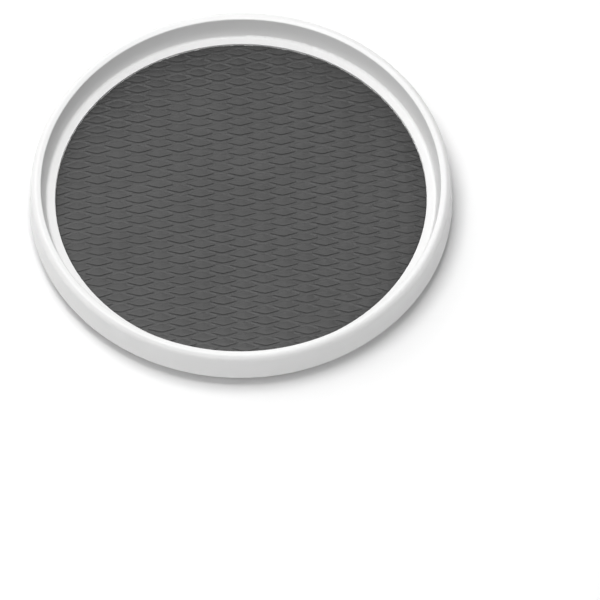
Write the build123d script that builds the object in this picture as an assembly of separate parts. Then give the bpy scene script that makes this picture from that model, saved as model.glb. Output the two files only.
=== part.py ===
from build123d import *

import math
import os

# A free-standing kitchen turntable, nominal 12 in. Millimetres, +Z up. The origin is on the
# spin axis, in the plane of the feet's lower faces.

# --- overall ---
TRAY_R = 149.1  # outer radius at the lower corner of the skirt
SKIRT_LOW = 9.4  # height of the skirt's lower edge
RIM_TOP = 31.7  # crest of the rim
BASE_R = 105.0
BASE_LOW = 1.5  # underside of the base, above the feet's lower faces

# --- tray ---
SHOULDER_R = 147.75  # outer wall where it meets the rounded top
SHOULDER_Z = 29.3
SHOULDER_ROUND = 3.2
CREST_R = 144.6
CREST_CORNER_Z = RIM_TOP + 0.26  # the rounding takes this corner down to the crest
CREST_ROUND = 2.6
WELL_R = 140.65  # inner wall of the rim, at its upper edge
WELL_EDGE_Z = 30.9
WELL_EDGE_ROUND = 1.1
WELL_FOOT_R = 137.5  # inner wall of the rim, where it leaves the floor ring
COVE_R = 2.0  # radius between the floor ring and the inner wall
FLOOR_RING_Z = 13.9
FLOOR_UNDER_MAT_Z = 12.0
FLOOR_LOW = 9.8  # underside of the floor
RECESS_R = 131.2  # recess that holds the mat
WALL = 2.2
CHANNEL_IN_R = 133.4  # hollow under the floor ring and inside the rim
CHANNEL_Z = 11.8
CHANNEL_SLOPE = 1.8
CHANNEL_TOP_Z = 28.9
CHANNEL_DRAFT = 0.2
SKIRT_WALL = 2.1
RIB_W = 1.5
RIBS = 12
TRAY_RIB_LOW = 8.6
TRAY_RIB_END_R = 101.0
TRAY_RIB_RING_T = 1.6

# --- mat ---
MAT_R = 130.9
MAT_TOP = 13.8
MAT_EDGE = 0.4

# --- ball bearing ---
BALLS = 16
BALL_R = 2.5
PITCH_R = 80.0  # circle of the ball centres
BALL_Z = 6.0
RACE_PLAY = 0.12  # space between a ball and each race
RACE_HALF_W = 5.0
BASE_RACE_TOP = 5.0
TRAY_RACE_LOW = 7.0
CAGE_HALF_W = 5.5
CAGE_T = 1.3
CAGE_LIP_T = 1.5
CAGE_LIP_TOP = 7.6
POCKET_PLAY = 0.12

# --- hub ---
SPINDLE_R = 6.0
SPINDLE_LOW = 4.5
THRUST_R = 11.0  # shoulder above the bush
BUSH_PLAY = 0.06
BUSH_R = 8.0
BUSH_FLANGE_R = 11.0
BUSH_FLANGE_T = 0.6
THRUST_PLAY = 0.1
HUB_TOP = 7.0
HUB_R = 15.0
HUB_RECESS_R = 11.0
HUB_WEB_LOW = 4.6
WASHER_R = 9.5
WASHER_HOLE_R = 2.2
WASHER_T = 0.6
SCREW_CREST_R = 1.95
SCREW_ROOT_R = 1.55
SCREW_PITCH = 1.0
SCREW_TURNS = 5
SCREW_POINT_R = 1.2
SCREW_TIP_Z = 10.7
SCREW_HEAD_R = 4.5
SCREW_HEAD_FACE_R = 3.3
SCREW_HEAD_EDGE = 0.5
SCREW_HEAD_T = 1.4
CROSS_L = 4.4
CROSS_W = 0.9
CROSS_DEPTH = 0.9
PILOT_R = 1.97
PILOT_TOP = 10.9
CAP_DISC_T = 0.8
CAP_SKIRT_T = 1.1
CAP_SKIRT_TOP = 3.6
CAP_PLAY = 0.04

# --- base ---
PLATE_TOP = 3.6
BASE_RIM_T = 2.0
BASE_RIM_TOP = 6.5
BASE_EDGE = 0.8
BASE_RIM_EDGE = 0.5
FEET = 6
FOOT_R = 8.0
FOOT_CIRCLE_R = 94.0
FOOT_RECESS_TOP = 2.7
FOOT_PLAY = 0.03
FOOT_PAD_R = 8.8
FOOT_PAD_TOP = 4.6
FOOT_EDGE = 0.5

# --- small roundings ---
RECESS_EDGE = 0.25
SKIRT_EDGE = 0.25
SKIRT_IN_EDGE = 0.4
CHANNEL_EDGE = 0.6
CHANNEL_CORNER = 1.5
CHANNEL_ROOF_CORNER = 1.0
THIN_EDGE = 0.2


def spun(corners):
    """Solid of revolution about Z from (radius, height, rounding) corners."""
    points = [(r, z) for r, z, _ in corners]
    roundings = [rounding for _, _, rounding in corners]
    with BuildPart() as part:
        with BuildSketch(Plane.XZ):
            with BuildLine():
                FilletPolyline(*points, radius=roundings, close=True)
            make_face()
        revolve(axis=Axis.Z)
    return part.part


def pipe(r_in, r_out, low, high):
    """Plain ring about Z."""
    return spun([(r_in, low, 0), (r_out, low, 0), (r_out, high, 0), (r_in, high, 0)])


def rod(radius, low, high, x=0.0, y=0.0):
    """Upright cylinder between two heights."""
    return Pos(x, y, (low + high) / 2) * Cylinder(radius, high - low)


def race_groove():
    """Torus that cuts both ball races."""
    return Pos(0, 0, BALL_Z) * Torus(PITCH_R, BALL_R + RACE_PLAY)


def ribs(r_in, r_out, low, high, turn=0.0):
    """Twelve radial ribs."""
    rib = Pos((r_in + r_out) / 2, 0, (low + high) / 2) * Box(r_out - r_in, RIB_W, high - low)
    return [Rot(0, 0, turn + k * 360 / RIBS) * rib for k in range(RIBS)]


def around(radius, count, k):
    """Place number k of count on a circle."""
    angle = math.radians(k * 360 / count)
    return radius * math.cos(angle), radius * math.sin(angle)


def make_tray():
    """White pan: floor with mat recess, sloping inner wall, hollow folded rim, race and spindle."""
    skirt_in_low = TRAY_R - SKIRT_WALL
    skirt_in_top = SHOULDER_R - SKIRT_WALL - CHANNEL_DRAFT
    well_slope = (WELL_R - WELL_FOOT_R) / (WELL_EDGE_Z - FLOOR_RING_Z)
    wall_across = WALL * math.hypot(1, well_slope)
    channel_out_low = WELL_FOOT_R + well_slope * (CHANNEL_Z - FLOOR_RING_Z) + wall_across
    channel_out_top = WELL_FOOT_R + well_slope * (CHANNEL_TOP_Z - FLOOR_RING_Z) + wall_across
    shell = spun([
        (0, FLOOR_LOW, 0),
        (CHANNEL_IN_R, FLOOR_LOW, CHANNEL_EDGE),
        (CHANNEL_IN_R + CHANNEL_SLOPE, CHANNEL_Z, CHANNEL_EDGE),
        (channel_out_low, CHANNEL_Z, CHANNEL_CORNER),
        (channel_out_top, CHANNEL_TOP_Z, CHANNEL_ROOF_CORNER),
        (skirt_in_top, CHANNEL_TOP_Z, CHANNEL_ROOF_CORNER),
        (skirt_in_low, SKIRT_LOW, SKIRT_IN_EDGE),
        (TRAY_R, SKIRT_LOW, SKIRT_EDGE),
        (SHOULDER_R, SHOULDER_Z, SHOULDER_ROUND),
        (CREST_R, CREST_CORNER_Z, CREST_ROUND),
        (WELL_R, WELL_EDGE_Z, WELL_EDGE_ROUND),
        (WELL_FOOT_R, FLOOR_RING_Z, COVE_R),
        (RECESS_R, FLOOR_RING_Z, RECESS_EDGE),
        (RECESS_R, FLOOR_UNDER_MAT_Z, 0),
        (0, FLOOR_UNDER_MAT_Z, 0),
    ])
    race = pipe(PITCH_R - RACE_HALF_W, PITCH_R + RACE_HALF_W, TRAY_RACE_LOW, FLOOR_LOW)
    thrust_low = HUB_TOP + BUSH_FLANGE_T + THRUST_PLAY
    shell += race
    shell += rod(THRUST_R, thrust_low, FLOOR_LOW)
    shell += rod(SPINDLE_R, SPINDLE_LOW, FLOOR_LOW)
    shell += ribs(THRUST_R - 1, TRAY_RIB_END_R, TRAY_RIB_LOW, FLOOR_LOW)
    shell += pipe(TRAY_RIB_END_R - TRAY_RIB_RING_T, TRAY_RIB_END_R, TRAY_RIB_LOW, FLOOR_LOW)
    shell -= race_groove()
    return shell - rod(PILOT_R, SPINDLE_LOW, PILOT_TOP)


def make_mat():
    """Soft disc that lies in the tray's recess."""
    return spun([
        (0, FLOOR_UNDER_MAT_Z, 0),
        (MAT_R, FLOOR_UNDER_MAT_Z, 0),
        (MAT_R, MAT_TOP, MAT_EDGE),
        (0, MAT_TOP, 0),
    ])


def make_base():
    """White moulded disc: plate, rim, lower race, ribs, hub, and recesses for the feet."""
    plate = spun([
        (0, BASE_LOW, 0),
        (BASE_R, BASE_LOW, BASE_EDGE),
        (BASE_R, BASE_RIM_TOP, BASE_RIM_EDGE),
        (BASE_R - BASE_RIM_T, BASE_RIM_TOP, BASE_RIM_EDGE),
        (BASE_R - BASE_RIM_T, PLATE_TOP, 0),
        (0, PLATE_TOP, 0),
    ])
    plate += pipe(PITCH_R - RACE_HALF_W, PITCH_R + RACE_HALF_W, PLATE_TOP, BASE_RACE_TOP)
    plate += rod(HUB_R, PLATE_TOP, HUB_TOP)
    rib_turn = 180 / RIBS
    plate += ribs(HUB_R - 1, BASE_R - 1, PLATE_TOP, BASE_RACE_TOP, rib_turn)
    for k in range(FEET):
        x, y = around(FOOT_CIRCLE_R, FEET, k)
        plate += rod(FOOT_PAD_R, PLATE_TOP, FOOT_PAD_TOP, x, y)
        plate -= rod(FOOT_R, BASE_LOW, FOOT_RECESS_TOP, x, y)
    plate -= race_groove()
    plate -= rod(HUB_RECESS_R, BASE_LOW, HUB_WEB_LOW)
    return plate - rod(BUSH_R, HUB_WEB_LOW, HUB_TOP)


def make_ball_cage():
    """Flat retainer ring with a pocket for each ball and a stiffening lip on its inner edge."""
    low = BALL_Z - CAGE_T / 2
    inner = PITCH_R - CAGE_HALF_W
    cage = pipe(inner, PITCH_R + CAGE_HALF_W, low, low + CAGE_T)
    cage += pipe(inner - CAGE_LIP_T, inner, low, CAGE_LIP_TOP)
    for k in range(BALLS):
        x, y = around(PITCH_R, BALLS, k)
        cage -= rod(BALL_R + POCKET_PLAY, BALL_Z - CAGE_T, BALL_Z + CAGE_T, x, y)
    return cage


def make_ball(k):
    """Steel ball number k."""
    x, y = around(PITCH_R, BALLS, k)
    return Pos(x, y, BALL_Z) * Sphere(BALL_R)


def make_bush():
    """Flanged plain bush, pressed into the hub of the base."""
    bore = SPINDLE_R + BUSH_PLAY
    flange_top = HUB_TOP + BUSH_FLANGE_T
    return spun([
        (bore, HUB_WEB_LOW, 0),
        (BUSH_R, HUB_WEB_LOW, 0),
        (BUSH_R, HUB_TOP, 0),
        (BUSH_FLANGE_R, HUB_TOP, 0),
        (BUSH_FLANGE_R, flange_top, THIN_EDGE),
        (bore, flange_top, THIN_EDGE),
    ])


def make_washer():
    """Plain washer that the screw clamps against the end of the spindle."""
    low = SPINDLE_LOW - WASHER_T
    return spun([
        (WASHER_HOLE_R, low, 0),
        (WASHER_R, low, THIN_EDGE),
        (WASHER_R, SPINDLE_LOW, THIN_EDGE),
        (WASHER_HOLE_R, SPINDLE_LOW, 0),
    ])


def make_screw():
    """Low-head thread-forming screw, put in from below, with a cross recess."""
    seat = SPINDLE_LOW - WASHER_T
    low = seat - SCREW_HEAD_T
    outline = [
        (0, low, 0),
        (SCREW_HEAD_FACE_R, low, 0),
        (SCREW_HEAD_R, seat - SCREW_HEAD_EDGE, SCREW_HEAD_EDGE),
        (SCREW_HEAD_R, seat, 0),
        (SCREW_CREST_R, seat, 0),
    ]
    z = seat + SCREW_PITCH
    for _ in range(SCREW_TURNS):
        outline.append((SCREW_CREST_R, z - 0.1 * SCREW_PITCH, 0))
        outline.append((SCREW_ROOT_R, z + 0.4 * SCREW_PITCH, 0))
        z += SCREW_PITCH
        outline.append((SCREW_CREST_R, z - 0.2 * SCREW_PITCH, 0))
    outline += [(SCREW_CREST_R, z, 0), (SCREW_POINT_R, SCREW_TIP_Z, 0), (0, SCREW_TIP_Z, 0)]
    slot = Pos(0, 0, low + CROSS_DEPTH / 2) * Box(CROSS_L, CROSS_W, CROSS_DEPTH)
    return spun(outline) - slot - Rot(0, 0, 90) * slot


def make_hub_cap():
    """Snap plug over the screw, flush with the underside of the base."""
    radius = HUB_RECESS_R - CAP_PLAY
    disc_top = BASE_LOW + CAP_DISC_T
    inner = radius - CAP_SKIRT_T
    return spun([
        (0, BASE_LOW, 0),
        (radius, BASE_LOW, THIN_EDGE),
        (radius, CAP_SKIRT_TOP, THIN_EDGE),
        (inner, CAP_SKIRT_TOP, THIN_EDGE),
        (inner, disc_top, THIN_EDGE),
        (0, disc_top, 0),
    ])


def make_foot(k):
    """Soft round foot number k, seated in its recess."""
    x, y = around(FOOT_CIRCLE_R, FEET, k)
    radius = FOOT_R - FOOT_PLAY
    foot = spun([
        (0, 0, 0),
        (radius, 0, FOOT_EDGE),
        (radius, FOOT_RECESS_TOP, 0),
        (0, FOOT_RECESS_TOP, 0),
    ])
    return Pos(x, y, 0) * foot


def build():
    """Every node by name."""
    nodes = {
        "tray": make_tray(),
        "mat": make_mat(),
        "base": make_base(),
        "ball_cage": make_ball_cage(),
        "pivot_bush": make_bush(),
        "pivot_washer": make_washer(),
        "pivot_screw": make_screw(),
        "hub_cap": make_hub_cap(),
    }
    for k in range(BALLS):
        nodes[f"ball_{k + 1:02d}"] = make_ball(k)
    for k in range(FEET):
        nodes[f"foot_{k + 1}"] = make_foot(k)
    return nodes


os.makedirs("parts", exist_ok=True)
for name, shape in build().items():
    export_step(shape, f"parts/{name}.step")
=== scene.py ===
import math

import bpy
import numpy as np
from mathutils import Matrix, Vector


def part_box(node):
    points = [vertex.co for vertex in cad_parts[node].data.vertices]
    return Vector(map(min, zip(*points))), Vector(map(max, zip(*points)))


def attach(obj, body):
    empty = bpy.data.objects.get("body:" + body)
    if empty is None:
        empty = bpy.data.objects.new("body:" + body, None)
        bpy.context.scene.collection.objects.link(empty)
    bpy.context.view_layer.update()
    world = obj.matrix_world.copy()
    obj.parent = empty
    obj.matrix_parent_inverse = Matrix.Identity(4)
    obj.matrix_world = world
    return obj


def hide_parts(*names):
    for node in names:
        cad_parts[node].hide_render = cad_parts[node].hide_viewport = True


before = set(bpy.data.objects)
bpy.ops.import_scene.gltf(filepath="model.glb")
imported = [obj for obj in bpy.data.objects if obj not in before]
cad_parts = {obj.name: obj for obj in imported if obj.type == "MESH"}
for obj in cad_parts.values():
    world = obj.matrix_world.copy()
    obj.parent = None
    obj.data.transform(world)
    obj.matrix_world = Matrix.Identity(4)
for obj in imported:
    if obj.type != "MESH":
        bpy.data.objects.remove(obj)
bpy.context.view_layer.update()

MM = 0.001

# --- mat pattern, millimetres ---
COLUMN = 14.47  # between neighbouring columns of scales
ROW = 8.64  # between scales in one column
HALF_W = 10.3  # half the width of a scale
DIP = 2.75  # depth of a scale's lower point below its side corners
PEAK = 3.9  # height of its upper point above its side corners
LIFT = 0.22  # a scale's lip stands this far above the land
GROOVE = 0.21  # depth of the groove under the lip
GROOVE_W = 0.66
TOP_GROOVE = 1.3  # depth of the groove along the upper edge, as a multiple of GROOVE
SIDE_FADE = 0.10  # share of the half width over which the lines die out at a side corner
SIDE_RISE = 0.08  # how far rows drift apart beyond the side corners
PATTERN_SHIFT = (0.66, 0.37)
PATTERN_TURN = 1.31  # degrees from the tray's X axis to the rows of scales

# --- how far one scale differs from the next ---
PATTERN_SEED = 11
SEED_OFFSET = 50  # keeps the numbers of columns and rows positive
SKEW = 0.05  # of the half width
TIP_SOFT = 0.045  # softness of the lower point, as a share of the half width
TIP_SOFT_SPREAD = 0.035
ARM_BOW = 0.03  # sag of the lip's arms, as a share of DIP
LOW_SPREAD = 0.2  # millimetres, at the lower point
HIGH_SPREAD = 0.25  # millimetres, at the upper point
WIDTH_SPREAD = 0.15  # of the groove's width
DEPTH_SPREAD = 0.2  # of its depth

# --- mat mesh, millimetres ---
STEPS = 7  # mesh rows for each row of scales
MAT_STEP = 0.95  # mesh step along a row
LEAST_GAP = 0.035  # between neighbouring mesh rows
CUT_IN = 0.35  # the embossed sheet ends this far inside the mat's edge
EDGE_RINGS = ((0.12, 0.08), (0.0, 0.30))  # inset and drop of each ring that rounds the edge
LEAST_SIDE = 0.1  # least height of the mat's side
EDGE_ROLL = 13.0  # width of the mat's border that rolls down to its edge
EDGE_DROP = 1.00  # how far it rolls down
SMOOTH_ANGLE = 45.0  # degrees; sharper folds stay sharp

# --- camera ---
TARGET = Vector((0.0, 0.0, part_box("mat")[1].z))
LENS = 400.0
SENSOR = 36.0
FRAME_WIDTH = 0.4231  # metres across the picture at the target
TARGET_LEFT = 0.0416  # the target stands this far left of and above the picture's centre
TARGET_UP = 0.07327
ELEVATION = 56.1
ROLL = -0.12

# --- light: name, place, size (metres), radiance ---
SOFTBOXES = [
    ("overhead", (-0.15, 0.03, 1.40), (0.75, 0.75), 6.75),
    ("behind_high", (-0.45, 0.95, 1.30), (1.3, 1.1), 1.40),
    ("behind_left_high", (-1.25, 1.00, 1.20), (1.0, 1.0), 0.60),
    ("behind_right_high", (1.10, 1.10, 1.30), (1.2, 1.0), 0.30),
    ("left", (-1.50, 0.0, 1.05), (1.2, 1.0), 0.95),
    ("right", (1.50, 0.0, 1.05), (1.2, 1.0), 0.95),
    ("front_left", (-1.10, -1.10, 1.30), (1.2, 1.0), 1.25),
    ("front_right", (1.10, -1.10, 1.30), (1.2, 1.0), 0.40),
    ("front", (0.0, -1.20, 1.45), (1.4, 1.0), 1.90),
    ("behind_low", (0.0, 1.75, 0.65), (1.7, 0.6), 2.30),
    ("behind_left_low", (-1.25, 1.25, 0.65), (1.2, 0.6), 1.60),
]
SURROUND = 0.02

# --- floor ---
FLOOR_HALF = 6.0  # metres from its middle to its sides
FLOOR_WHITE = 0.93


# ------------------------------------------------------------------ mat

def variation(column, row):
    """Numbers from -1 to 1 that belong to one scale of the pattern."""
    rng = np.random.default_rng((PATTERN_SEED, column + SEED_OFFSET, row + SEED_OFFSET))
    return rng.uniform(-1, 1, 5)


def lip_line(t, sign, drop, skew, sharp):
    """Height in the pattern of a scale's lower edge, from 0 at its side corners to -DIP at its point."""
    bent = np.clip(t + SKEW * skew * np.sin(math.pi * t) * sign, 0, 1)
    soft = TIP_SOFT + TIP_SOFT_SPREAD * sharp
    straight = (np.hypot(bent, soft) - soft) / (math.hypot(1, soft) - soft)
    bow = ARM_BOW * np.sin(math.pi * bent) ** 2 * (1 - t)
    return DIP * (straight - bow - 1) - LOW_SPREAD * drop * (1 - t)


def scale_rows(x, column, row):
    """Mesh rows that follow one scale over x: (y, height, groove) from below its lip to its upper edge."""
    drop, skew, sharp, high, deep = variation(column, row)
    side = x - column * COLUMN
    away = np.abs(side)
    t = np.clip(away / HALF_W, 0, 1)
    inner = 1 - t
    low = lip_line(t, np.sign(side), drop, skew, sharp)
    top = PEAK * inner + HIGH_SPREAD * high * inner
    fade = np.clip(inner / SIDE_FADE, 0, 1)
    fade = fade * fade * (3 - 2 * fade)
    beyond = np.clip((away - HALF_W) / (COLUMN - HALF_W), 0, 1)
    corner = DIP + row * ROW + (0.5 * ROW if column % 2 else 0.0) + SIDE_RISE * beyond
    width = GROOVE_W * fade * (1 + WIDTH_SPREAD * deep)
    depth = GROOVE * fade * (1 + DEPTH_SPREAD * deep)
    lift = LIFT * np.sqrt(np.clip(1 - t * t, 0, 1))
    room = np.maximum(top - low - 1.0, 0) * fade
    steps = [
        (low - width - 0.13, 0 * t, 0.0),  # land before the groove
        (low - 0.66 * width - 0.09, -0.9 * depth, 1.0),  # bottom of the groove, its near side
        (low - 0.10 * width - 0.05, -depth, 1.0),  # and its far side, at the foot of the lip
        (low + 0.14 * fade, 0.82 * lift, 0.0),  # top of the lip's face
        (low + 0.05 + 0.55 * fade, lift, 0.0),  # crest of the scale
        (low + 0.10 + 0.55 * fade + 0.90 * room, 0.80 * lift, 0.0),  # back of the scale
        (low + 0.15 + 0.75 * fade + room, -TOP_GROOVE * depth, 1.0),  # groove along the upper edge
    ]
    return [(corner + y, h, g * fade) for y, h, g in steps]


def mat_grid(radius):
    """Grid of mesh points over the mat whose rows follow the scales: x, then y, height and groove by row."""
    rows = int(radius / ROW) + 2
    x = np.arange(-radius - 2, radius + 2 + MAT_STEP, MAT_STEP)
    bands = []
    for row in range(-rows, rows + 1):
        for parity in (0, 1):
            nearest = np.round((x / COLUMN - parity) / 2).astype(int) * 2 + parity
            band = np.zeros((STEPS, 3, len(x)))
            for column in np.unique(nearest):
                here = nearest == column
                for k, made in enumerate(scale_rows(x[here], column, row)):
                    for part in range(3):
                        band[k, part, here] = made[part]
            bands.append(band)
    grid = np.concatenate(bands)
    return x, spread(grid[:, 0]), grid[:, 1], grid[:, 2]


def spread(ys):
    """Keeps the rows in order, a little apart."""
    for _ in range(150):
        short = np.maximum(LEAST_GAP - np.diff(ys, axis=0), 0)
        if short.max() < 1e-4:
            break
        ys[1:] += short / 2
        ys[:-1] -= short / 2
    return ys


def embossed_sheet(outer, cut, top):
    """The mat's upper face as points and quads, cut to a disc, and how deep in a groove each point is, which
    the material uses to paint shade into the grooves.
    """
    x, ys, heights, grooves = mat_grid(outer)
    turn = math.radians(PATTERN_TURN)
    xx = np.tile(x, (len(ys), 1))
    px = xx * math.cos(turn) - ys * math.sin(turn) + PATTERN_SHIFT[0]
    py = xx * math.sin(turn) + ys * math.cos(turn) + PATTERN_SHIFT[1]
    border = np.clip((np.hypot(px, py) - outer + EDGE_ROLL) / EDGE_ROLL, 0, 1)
    pz = top - LIFT + heights - EDGE_DROP * border ** 2
    inside = np.hypot(px, py) < cut
    kept = inside[:-1, :-1] | inside[1:, :-1] | inside[:-1, 1:] | inside[1:, 1:]
    index = np.arange(px.size).reshape(px.shape)
    corners = [index[:-1, :-1], index[:-1, 1:], index[1:, 1:], index[1:, :-1]]
    used, faces = np.unique(np.stack([c[kept] for c in corners], axis=1), return_inverse=True)
    points = np.stack([px.ravel(), py.ravel(), pz.ravel()], axis=1)[used]
    reach = np.hypot(points[:, 0], points[:, 1])
    over = reach > cut
    points[over, :2] *= (cut / reach[over])[:, None]
    return points, faces.reshape(-1, 4), grooves.ravel()[used]


def edge_loop(faces):
    """Vertices round the open edge of a sheet of quads, in order."""
    sides = {(face[k], face[(k + 1) % 4]) for face in faces for k in range(4)}
    following = {a: b for a, b in sides if (b, a) not in sides}
    loop = [min(following)]
    while following[loop[-1]] != loop[0]:
        loop.append(following[loop[-1]])
    return loop


def close_sheet(points, faces, outer, bottom):
    """Adds a rounded edge, a side and an underside to the embossed sheet."""
    verts = [tuple(p) for p in points]
    polygons = [tuple(int(v) for v in f) for f in faces]
    rim = edge_loop(polygons)
    rings = [
        [(outer - inset, max(verts[v][2] - drop, bottom + LEAST_SIDE)) for v in rim]
        for inset, drop in EDGE_RINGS
    ]
    rings.append([(outer, bottom) for _ in rim])
    last = rim
    for ring in rings:
        first = len(verts)
        for v, (radius, z) in zip(rim, ring):
            angle = math.atan2(verts[v][1], verts[v][0])
            verts.append((radius * math.cos(angle), radius * math.sin(angle), z))
        made = list(range(first, len(verts)))
        for k in range(len(rim)):
            n = (k + 1) % len(rim)
            polygons.append((last[k], made[k], made[n], last[n]))
        last = made
    polygons.append(tuple(last[::-1]))
    return verts, polygons


def make_mat():
    """Embossed soft mat: scales in staggered columns, cut to a disc with a rounded edge."""
    low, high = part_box("mat")
    outer = high.x / MM
    points, faces, grooves = embossed_sheet(outer, outer - CUT_IN, high.z / MM)
    verts, polygons = close_sheet(points, faces, outer, low.z / MM)
    mesh = bpy.data.meshes.new("mat_embossed")
    mesh.from_pydata([(x * MM, y * MM, z * MM) for x, y, z in verts], [], polygons)
    mesh.validate()
    mesh.update()
    mesh.shade_smooth()
    mesh.set_sharp_from_angle(angle=math.radians(SMOOTH_ANGLE))
    # The groove attribute marks where the mat's material paints shade into the grooves.
    values = np.zeros(len(mesh.vertices))
    values[:len(grooves)] = grooves
    mesh.attributes.new("groove", "FLOAT", "POINT").data.foreach_set("value", values)
    mat = bpy.data.objects.new("mat_embossed", mesh)
    bpy.context.scene.collection.objects.link(mat)
    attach(mat, "turning_tray")
    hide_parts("mat")
    return mat


# ------------------------------------------------------------------ materials

def new_material(name):
    """Node material with its nodes, its links and its shader."""
    material = bpy.data.materials.new(name)
    material.use_nodes = True
    nodes = material.node_tree.nodes
    return material, nodes, material.node_tree.links, nodes["Principled BSDF"]


def noise(nodes, links, scale, detail=4.0, roughness=0.55):
    """Noise over the object's own coordinates, with features of 1/scale metres."""
    coords = nodes.new("ShaderNodeTexCoord")
    texture = nodes.new("ShaderNodeTexNoise")
    texture.inputs["Scale"].default_value = scale
    texture.inputs["Detail"].default_value = detail
    texture.inputs["Roughness"].default_value = roughness
    links.new(coords.outputs["Object"], texture.inputs["Vector"])
    return texture


def ramp(nodes, links, source, stops):
    """Colour ramp from (position, grey or colour) stops."""
    node = nodes.new("ShaderNodeValToRGB")
    elements = node.color_ramp.elements
    while len(elements) < len(stops):
        elements.new(0.5)
    for element, (position, value) in zip(elements, stops):
        element.position = position
        colour = (value,) * 3 if isinstance(value, float) else value
        element.color = (*colour, 1.0)
    links.new(source, node.inputs["Fac"])
    return node


def multiply(nodes, links, a, b):
    """Product of two colours."""
    node = nodes.new("ShaderNodeMix")
    node.data_type = "RGBA"
    node.blend_type = "MULTIPLY"
    node.inputs["Factor"].default_value = 1.0
    links.new(a, node.inputs["A"])
    links.new(b, node.inputs["B"])
    return node.outputs["Result"]


def bump(nodes, links, height, strength, distance, normal=None):
    """Bump over another bump's normal, or over the surface's own."""
    node = nodes.new("ShaderNodeBump")
    node.inputs["Strength"].default_value = strength
    node.inputs["Distance"].default_value = distance
    links.new(height, node.inputs["Height"])
    if normal is not None:
        links.new(normal, node.inputs["Normal"])
    return node


def white_plastic(name, shade, low_rough, high_rough, grain_scale, grain_depth):
    """Moulded white polypropylene: slight cloudiness, uneven gloss, and moulded grain."""
    material, nodes, links, shader = new_material(name)
    cloud = noise(nodes, links, 22.0, detail=3.0)
    tone = ramp(nodes, links, cloud.outputs["Fac"], [
        (0.3, (shade * 0.985, shade * 0.985, shade * 0.98)),
        (0.7, (shade, shade, shade)),
    ])
    links.new(tone.outputs["Color"], shader.inputs["Base Color"])
    gloss = noise(nodes, links, 60.0, detail=5.0)
    rough = ramp(nodes, links, gloss.outputs["Fac"], [(0.3, low_rough), (0.7, high_rough)])
    links.new(rough.outputs["Color"], shader.inputs["Roughness"])
    grain = noise(nodes, links, grain_scale, detail=2.0)
    wave = noise(nodes, links, 90.0, detail=1.0)
    fine = bump(nodes, links, grain.outputs["Fac"], 0.35, grain_depth)
    broad = bump(nodes, links, wave.outputs["Fac"], 0.08, 0.0004, fine.outputs["Normal"])
    links.new(broad.outputs["Normal"], shader.inputs["Normal"])
    shader.inputs["IOR"].default_value = 1.49
    return material


def soft_rubber(name, dark, light, grain_scale, groove_painted_shade=1.0):
    """Matte thermoplastic rubber: fine moulded grain, slight unevenness, and painted shade that darkens its
    colour in the grooves.
    """
    material, nodes, links, shader = new_material(name)
    cloud = noise(nodes, links, 35.0, detail=6.0, roughness=0.6)
    speck = noise(nodes, links, 1400.0, detail=2.0)
    tone = ramp(nodes, links, cloud.outputs["Fac"], [(0.3, dark), (0.7, light)])
    fleck = ramp(nodes, links, speck.outputs["Fac"], [(0.35, 0.90), (0.65, 1.10)])
    flecked = multiply(nodes, links, tone.outputs["Color"], fleck.outputs["Color"])
    # Painted shade: where the groove attribute marks a groove, the base colour is darkened by the given
    # factor, standing in for the shade that falls in the grooves.
    groove = nodes.new("ShaderNodeAttribute")
    groove.attribute_name = "groove"
    depth = ramp(nodes, links, groove.outputs["Fac"], [(0.0, 1.0), (1.0, groove_painted_shade)])
    groove_shaded_colour = multiply(nodes, links, flecked, depth.outputs["Color"])
    links.new(groove_shaded_colour, shader.inputs["Base Color"])
    rough = ramp(nodes, links, speck.outputs["Fac"], [(0.3, 0.44), (0.7, 0.54)])
    links.new(rough.outputs["Color"], shader.inputs["Roughness"])
    grain = noise(nodes, links, grain_scale, detail=3.0, roughness=0.7)
    fine = bump(nodes, links, grain.outputs["Fac"], 0.8, 0.00010)
    links.new(fine.outputs["Normal"], shader.inputs["Normal"])
    shader.inputs["IOR"].default_value = 1.5
    return material


def steel(name, shade, low_rough, high_rough, scratch_scale):
    """Bright metal with fine handling marks."""
    material, nodes, links, shader = new_material(name)
    marks = noise(nodes, links, scratch_scale, detail=6.0, roughness=0.7)
    tone = ramp(nodes, links, marks.outputs["Fac"], [
        (0.3, (shade * 0.93, shade * 0.93, shade * 0.95)),
        (0.7, (shade, shade, shade * 1.01)),
    ])
    links.new(tone.outputs["Color"], shader.inputs["Base Color"])
    rough = ramp(nodes, links, marks.outputs["Fac"], [(0.3, low_rough), (0.7, high_rough)])
    links.new(rough.outputs["Color"], shader.inputs["Roughness"])
    shader.inputs["Metallic"].default_value = 1.0
    return material


def dress(node_name, material):
    """Gives a carried-over CAD node its material."""
    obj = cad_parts[node_name]
    if not obj.material_slots:
        obj.data.materials.append(material)
    for slot in obj.material_slots:
        slot.material = material


# ------------------------------------------------------------------ stage

def make_floor():
    """Large white floor under the object."""
    corners = [(-FLOOR_HALF, -FLOOR_HALF, 0), (FLOOR_HALF, -FLOOR_HALF, 0),
               (FLOOR_HALF, FLOOR_HALF, 0), (-FLOOR_HALF, FLOOR_HALF, 0)]
    mesh = bpy.data.meshes.new("floor")
    mesh.from_pydata(corners, [], [(0, 1, 2, 3)])
    floor = bpy.data.objects.new("floor", mesh)
    bpy.context.scene.collection.objects.link(floor)
    material, nodes, links, shader = new_material("white_floor")
    shader.inputs["Base Color"].default_value = (FLOOR_WHITE, FLOOR_WHITE, FLOOR_WHITE, 1.0)
    shader.inputs["Roughness"].default_value = 0.9
    shader.inputs["Specular IOR Level"].default_value = 0.0
    mesh.materials.append(material)


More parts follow.
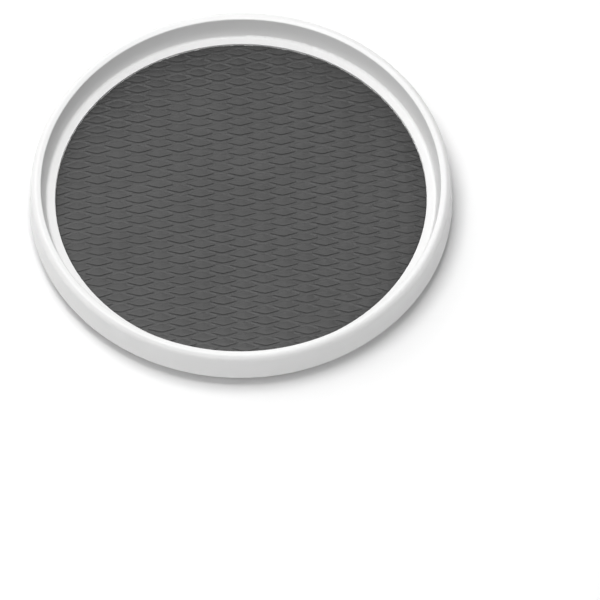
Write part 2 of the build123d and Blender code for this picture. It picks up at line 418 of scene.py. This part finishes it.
def softbox(name, place, size, radiance):
    """Soft rectangular light aimed at the object; its radiance doesn't depend on its size."""
    data = bpy.data.lights.new(name, "AREA")
    data.shape = "RECTANGLE"
    data.size, data.size_y = size
    data.energy = radiance * math.pi * size[0] * size[1]
    light = bpy.data.objects.new(name, data)
    light.location = place
    light.rotation_mode = "QUATERNION"
    light.rotation_quaternion = (-Vector(place)).to_track_quat("-Z", "Y")
    light.visible_camera = False
    bpy.context.scene.collection.objects.link(light)


def light_scene():
    """Ring of softboxes, strongest overhead, and a faint even surround."""
    for name, place, size, radiance in SOFTBOXES:
        softbox(name, place, size, radiance)
    world = bpy.data.worlds.new("surround")
    world.use_nodes = True
    background = world.node_tree.nodes["Background"]
    background.inputs["Color"].default_value = (1.0, 1.0, 1.0, 1.0)
    background.inputs["Strength"].default_value = SURROUND
    bpy.context.scene.world = world


def make_camera():
    """Long-lens camera above the front, aimed beside the object so that it stands upper left."""
    distance = FRAME_WIDTH * LENS / SENSOR
    rise = math.atan(TARGET_UP / distance)
    tilt = math.radians(ELEVATION) + rise
    back = Vector((0.0, -math.cos(tilt), math.sin(tilt)))
    up = Vector((0.0, math.sin(tilt), math.cos(tilt)))
    right = Vector((1.0, 0.0, 0.0))
    roll = Matrix.Rotation(math.radians(ROLL), 3, back)
    right = roll @ right
    up = roll @ up
    data = bpy.data.cameras.new("camera")
    data.lens = LENS
    data.sensor_width = SENSOR
    data.clip_start = 0.05
    data.clip_end = 60.0
    camera = bpy.data.objects.new("camera", data)
    camera.location = TARGET + back * distance + right * TARGET_LEFT - up * TARGET_UP
    camera.rotation_mode = "QUATERNION"
    camera.rotation_quaternion = Matrix((right, up, back)).transposed().to_quaternion()
    bpy.context.scene.collection.objects.link(camera)
    bpy.context.scene.camera = camera


# ------------------------------------------------------------------ assembly

def dress_nodes():
    """Materials of every CAD node that shows."""
    moulding = white_plastic("white_moulding", 0.76, 0.34, 0.44, 2600.0, 0.00003)
    base_plastic = white_plastic("white_base", 0.84, 0.5, 0.62, 1500.0, 0.00008)
    rubber = soft_rubber("foot_rubber", 0.028, 0.036, 2500.0)
    natural = white_plastic("cage_plastic", 0.78, 0.4, 0.5, 1800.0, 0.00004)
    acetal = white_plastic("bush_plastic", 0.82, 0.25, 0.35, 1800.0, 0.00002)
    ball_steel = steel("ball_steel", 0.78, 0.06, 0.14, 900.0)
    plated = steel("plated_steel", 0.70, 0.22, 0.38, 1200.0)
    dress("tray", moulding)
    for name in ("base", "hub_cap"):
        dress(name, base_plastic)
    dress("ball_cage", natural)
    dress("pivot_bush", acetal)
    for name in ("pivot_washer", "pivot_screw"):
        dress(name, plated)
    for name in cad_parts:
        if name.startswith("ball_") and name != "ball_cage":
            dress(name, ball_steel)
        if name.startswith("foot_"):
            dress(name, rubber)


dress_nodes()
mat = make_mat()
# The mat's colour in the grooves is darkened to 0.80 as painted shade.
mat.data.materials.append(soft_rubber("grey_mat", 0.039, 0.047, 3000.0, groove_painted_shade=0.80))
make_floor()
light_scene()
make_camera()
bpy.context.scene.view_settings.view_transform = "Standard"
